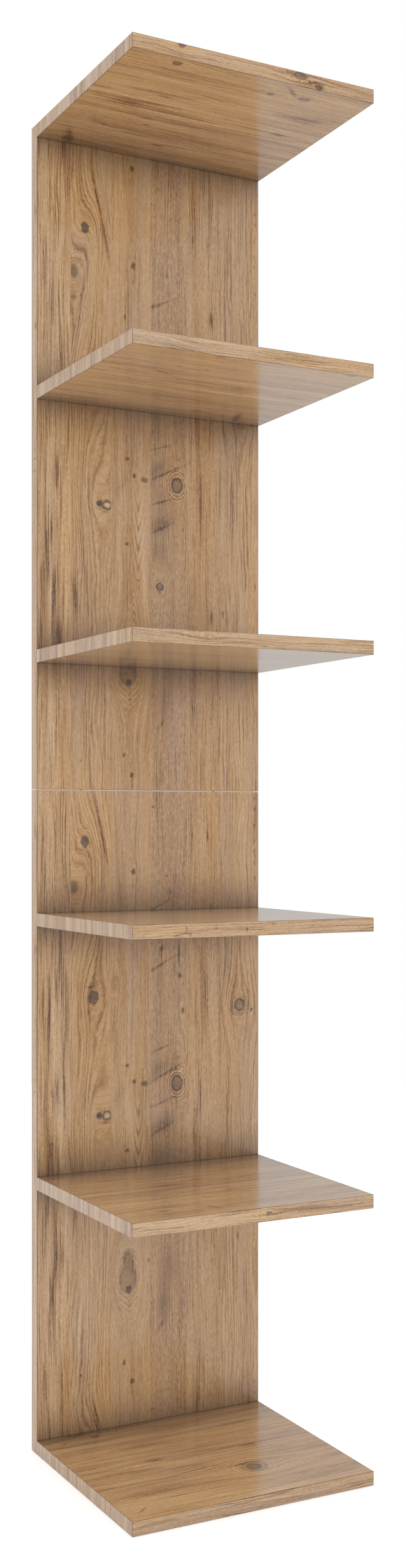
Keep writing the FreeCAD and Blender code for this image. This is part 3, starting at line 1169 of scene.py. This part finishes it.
FRONT_FINISHES = (
    FrontBandDecor(
        seed=2.3, tone=-0.01, warmth=0.12,
        knots=Knot.rows(
            (16.5, 68, 3.5, 5, 0.95, 0.8, 0.08, 0.9, 0.7), (13, 238, 4, 9, 0.8, 0.8, 0.1, 0.65, 1),
            (3.5, 266, 3, 5, 0.95, 0.7, 0.08, 0.8, 1),
        ),
        marks=Mark.rows((9, 252, 2, 14, 0.3), (15, 221, 2, 8, 0.3), (6, 240, 1.2, 10, 0.24)),
    ),
    FrontBandDecor(
        seed=7.9, tone=0.03,
        marks=Mark.rows((4, 25, 1, 5, 0.12), (7, 195, 0.9, 30, 0.12), (12, 320, 1.5, 30, 0.1)),
    ),
    FrontBandDecor(
        seed=13.1, tone=0.03,
        knots=Knot.rows((13, 105, 3, 7, 0.25, 0.9, 0.04)),
        marks=Mark.rows((3, 185, 0.9, 5, 0.3), (2, 210, 0.9, 8, 0.2), (8, 135, 1, 16, 0.14)),
    ),
    FrontBandDecor(
        seed=19.7, tone=0.01,
        marks=Mark.rows(
            (11, 74, 3, 1.4, 0.3), (3, 60, 1, 6, 0.38), (5.5, 72, 0.9, 7, 0.3), (4, 80, 2, 1.5, 0.3),
            (12, 116, 3, 1.3, 0.2), (8, 160, 4, 1.2, 0.25), (14, 198, 2, 2.2, 0.25), (9, 25, 1.1, 9, 0.16),
        ),
    ),
    FrontBandDecor(
        seed=29.3, tone=0.04,
        knots=Knot.rows((11, 192, 1.9, 4.2, 0.8, 0.6)),
    ),
    FrontBandDecor(
        seed=37.7, tone=0.015, warmth=0.15,
        marks=Mark.rows((9, 40, 1, 30, 0.12), (12, 150, 1, 40, 0.12), (6, 250, 1.1, 40, 0.12)),
    ),
)

END_FINISH = EndBandDecor(seed=6, growth_gain=0.1, planks=(Plank(0, 0, 0.06, 1.1, 0.45, 0.14, 0.15),))

EDGE_FINISH = EdgeBandDecor(
    repeat=DECOR_REPEAT, seed=9,
    planks=(
        Plank(0, 0.065, 0, 0.4, 0.3, 0.14, 0.05),
        Plank(3, -0.015, 0, 0.4, 0.4, 0.14, 0.1),
        Plank(4.2, 0.055, 0.06, 0.65, 0.55, 0.18, 0.2),
    ),
    knots=Knot.rows((13.5, 1527, 4, 5, 0.5, 0.4)),
    marks=Mark.rows(
        (10, 1332, 4.5, 1.8, 0.24), (10, 1348, 4.5, 1.8, 0.22), (12, 1687, 2.6, 9, 0.22),
        (16, 1680, 2, 7, 0.15),
    ),
)


@dataclass(frozen=True)
class PlainFinish:
    """A finish clouded between two colours: plated steel, or turned beech."""

    dark: Parts
    light: Parts
    roughness: float
    unevenness: float = 0.25
    metallic: float = 1.0
    cells: Parts = (420.0, 420.0, 420.0)

    def material(self, name: str) -> bpy.types.Material:
        """Builds the finish as a material, with its noise in cells per metre.

        Args:
            name: what the material is called.

        Returns:
            The new material.
        """
        made, w = bare(name)
        cloud = w.noise(w.add("ShaderNodeTexCoord").outputs["Object"], self.cells)
        colour = w.mix(cloud, srgb(*self.dark), srgb(*self.light))
        rough = w.swing(cloud, self.unevenness, self.roughness) if self.unevenness else self.roughness
        inputs = {"Base Color": colour, "Roughness": rough, "Metallic": self.metallic}
        w.show(w.add("ShaderNodeBsdfPrincipled", inputs))
        return made


def plated(light: Parts, roughness: float) -> PlainFinish:
    """Returns plated steel, clouded from its colour down to a share of it."""
    red, green, blue = light
    return PlainFinish((red * STEEL_SHADE, green * STEEL_SHADE, blue * STEEL_SHADE), light, roughness)


PLATE_STEEL = plated((186, 188, 192), 0.3)
SCREW_STEEL = plated((198, 186, 150), 0.36)
CONNECTOR_STEEL = plated((178, 180, 184), 0.34)
DOWEL_BEECH = PlainFinish(
    (196, 156, 112), (222, 186, 142), 0.6, unevenness=0.0, metallic=0.0, cells=(900.0, 120.0, 900.0),
)


def dress(node: str, material: bpy.types.Material) -> None:
    """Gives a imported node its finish.

    Args:
        node: the node's name.
        material: what its first slot gets.
    """
    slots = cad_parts[node].material_slots
    slots[0].material = material
    log.info("%s: %s", node, material.name)


@dataclass
class BackPanels:
    """The two stacked back panels with the bands on their edges, of which two meet at the joint."""

    finish: PanelDecor = PANEL_FINISH
    band_finish: EdgeBandDecor = EDGE_FINISH
    joint_shade_line: float = 0.25

    def dress(self) -> None:
        """Dresses both panels and their bands."""
        decor = self.finish.material("panel_decor")
        band = self.band_finish.material("panel_edge_band")
        for level in PanelLevel:
            dress(f"{level.value}_back_panel", decor)
            for edge in Edge:
                dress(f"{level.value}_panel_{edge.value}_band", band)
        # Painted shade at the joint: the upper panel's bottom band keeps a faint dark line for its shadowed
        # underside, and the lower panel's top band has no line.
        faint_shade = replace(self.band_finish, line_depth=self.joint_shade_line)
        plain = replace(self.band_finish, line_depth=0.0)
        dress("upper_panel_bottom_band", faint_shade.material("panel_joint_band"))
        dress("lower_panel_top_band", plain.material("panel_rest_band"))


@dataclass
class Shelves:
    """The shelves from the top down, with their bands and dowels."""

    finishes: tuple[ShelfDecor, ...] = SHELF_FINISHES
    front_finishes: tuple[FrontBandDecor, ...] = FRONT_FINISHES
    end_finish: EndBandDecor = END_FINISH
    # Painted light: each shelf's end bands are a little lighter or darker to even out how much light they
    # catch from the floor and its shade.
    end_light_tones: tuple[float, ...] = (0.0, 0.01, 0.01, 0.0, -0.025, 0.03)
    floors: tuple[float, ...] = (HEIGHT - BOARD, 4 * PITCH, 3 * PITCH, 2 * PITCH, PITCH, 0.0)
    seen_from_below: int = 3

    def dress(self) -> None:
        """Dresses every shelf. The upper ones have their figure underneath, where they are seen."""
        dowel = DOWEL_BEECH.material("dowel_beech")
        rows = zip(self.floors, self.finishes, self.front_finishes, self.end_light_tones)
        for number, (floor, decor, front, tone) in enumerate(rows, 1):
            shelf = f"shelf_{number}"
            seen = floor if number <= self.seen_from_below else floor + BOARD
            dress(shelf, replace(decor, seen_face=seen).material(f"{shelf}_decor"))
            dress(f"{shelf}_front_band", replace(front, floor=floor).material(f"{shelf}_front_decor"))
            end = replace(self.end_finish, tone=tone).material(f"{shelf}_end_band")
            for side in (Edge.LEFT, Edge.RIGHT):
                dress(f"{shelf}_{side.value}_band", end)
            dress(f"{shelf}_dowels", dowel)


@dataclass
class Fittings:
    """The steel in the back: hanger plates, their screws, the shelves' screws and the panels' pins."""

    shelf_count: int = len(SHELF_FINISHES)

    def dress(self) -> None:
        """Dresses plates, screws and pins."""
        plate = PLATE_STEEL.material("plate_steel")
        screw = SCREW_STEEL.material("screw_steel")
        connector = CONNECTOR_STEEL.material("connector_steel")
        for level in PanelLevel:
            for side in (Edge.LEFT, Edge.RIGHT):
                dress(f"{level.value}_{side.value}_hanger", plate)
            dress(f"{level.value}_hanger_screws", screw)
        for number in range(1, self.shelf_count + 1):
            dress(f"shelf_{number}_screws", connector)
        dress("joining_pins", connector)


@dataclass
class Studio:
    """The pale floor, the white surround and the camera."""

    floor_radius: float = 3.0
    floor_drop: float = 0.0005
    first_ring: float = 0.02
    rings: int = 24
    spokes: int = 96
    floor_colour: float = 0.86
    floor_mirrored: float = 0.74
    floor_lift: float = 0.4
    mirrored: float = 0.52
    camera_place: Parts = (-1.0594, -2.0171, 0.8533)
    camera_turn: float = -25.823
    camera_range: tuple[float, float] = (0.05, 60.0)
    focal_pixels: float = 2539.46
    centre_column: float = 144.77
    centre_row: float = 1294.65

    def floor(self) -> None:
        """Builds the floor as a flat disc.

        A point is (radius cos angle, radius sin angle, drop) on a grid of radius and angle, the radii
        growing as the square of their number.
        """
        radius = self.floor_radius * np.linspace(self.first_ring, 1.0, self.rings) ** 2
        angle = np.linspace(0.0, TURN, self.spokes, endpoint=False)
        far, turn = np.meshgrid(radius, angle, indexing="ij")
        points = np.stack([far * np.cos(turn), far * np.sin(turn), np.full_like(far, -self.floor_drop)], -1)
        ring, spoke = np.meshgrid(np.arange(self.rings - 1), np.arange(self.spokes), indexing="ij")
        after = (spoke + 1) % self.spokes
        corners = [(ring, spoke), (ring + 1, spoke), (ring + 1, after), (ring, after)]
        quads = np.stack([row * self.spokes + column for row, column in corners], -1).reshape(-1, 4)
        middle = [np.arange(self.spokes).tolist()]
        mesh = bpy.data.meshes.new("studio_floor")
        mesh.from_pydata(points.reshape(-1, 3).tolist(), [], quads.tolist() + middle)
        mesh.update()
        made = bpy.data.objects.new("studio_floor", mesh)
        bpy.context.scene.collection.objects.link(made)
        made.data.materials.append(self.floor_finish())

    def floor_finish(self) -> bpy.types.Material:
        """Builds the matt white floor, lifted to white for the camera and duller in reflections.

        Returns:
            The new material.
        """
        made, w = bare("floor_white")
        path = w.add("ShaderNodeLightPath").outputs
        dimmer = self.floor_mirrored - self.floor_colour
        white = w.math("MULTIPLY_ADD", path["Is Glossy Ray"], dimmer, self.floor_colour)
        matt = w.add("ShaderNodeBsdfDiffuse", {"Color": white})
        lift = w.math("MULTIPLY", path["Is Camera Ray"], self.floor_lift)
        glow = w.add("ShaderNodeEmission", {"Strength": lift})
        w.show(w.add("ShaderNodeAddShader", {0: matt.outputs[0], 1: glow.outputs[0]}))
        return made

    def light(self) -> None:
        """Sets a white surround as the only light, which reflections see as pale grey walls."""
        world = bpy.data.worlds.new("white_surround")
        world.use_nodes = True
        world.node_tree.nodes.clear()
        w = Wiring(world.node_tree)
        gloss = w.add("ShaderNodeLightPath").outputs["Is Glossy Ray"]
        strength = w.math("MULTIPLY_ADD", gloss, self.mirrored - 1.0, 1.0)
        sky = w.add("ShaderNodeBackground", {"Color": (1.0, 1.0, 1.0, 1.0), "Strength": strength})
        w.show(sky, "ShaderNodeOutputWorld")
        bpy.context.scene.world = world

    def camera(self) -> None:
        """Builds the camera at the photograph's place."""
        data = bpy.data.cameras.new("photo_camera")
        data.sensor_fit = "AUTO"
        data.lens = self.focal_pixels / PHOTO_HEIGHT * data.sensor_width
        data.shift_x = (PHOTO_WIDTH / 2 - self.centre_column) / PHOTO_HEIGHT
        data.shift_y = (self.centre_row - PHOTO_HEIGHT / 2) / PHOTO_HEIGHT
        data.clip_start, data.clip_end = self.camera_range
        made = bpy.data.objects.new("photo_camera", data)
        made.location = self.camera_place
        made.rotation_euler = (math.pi / 2, 0.0, math.radians(self.camera_turn))
        bpy.context.scene.collection.objects.link(made)
        bpy.context.scene.camera = made

    def build(self) -> None:
        """Builds floor, light and camera."""
        bpy.context.scene.view_settings.view_transform = "Standard"
        self.floor()
        self.light()
        self.camera()


def main() -> None:
    """Dresses the shelf and builds its studio."""
    logging.basicConfig(level=logging.INFO, format="%(name)s %(message)s")
    BackPanels().dress()
    Shelves().dress()
    Fittings().dress()
    Studio().build()


if __name__ == "__main__":
    main()
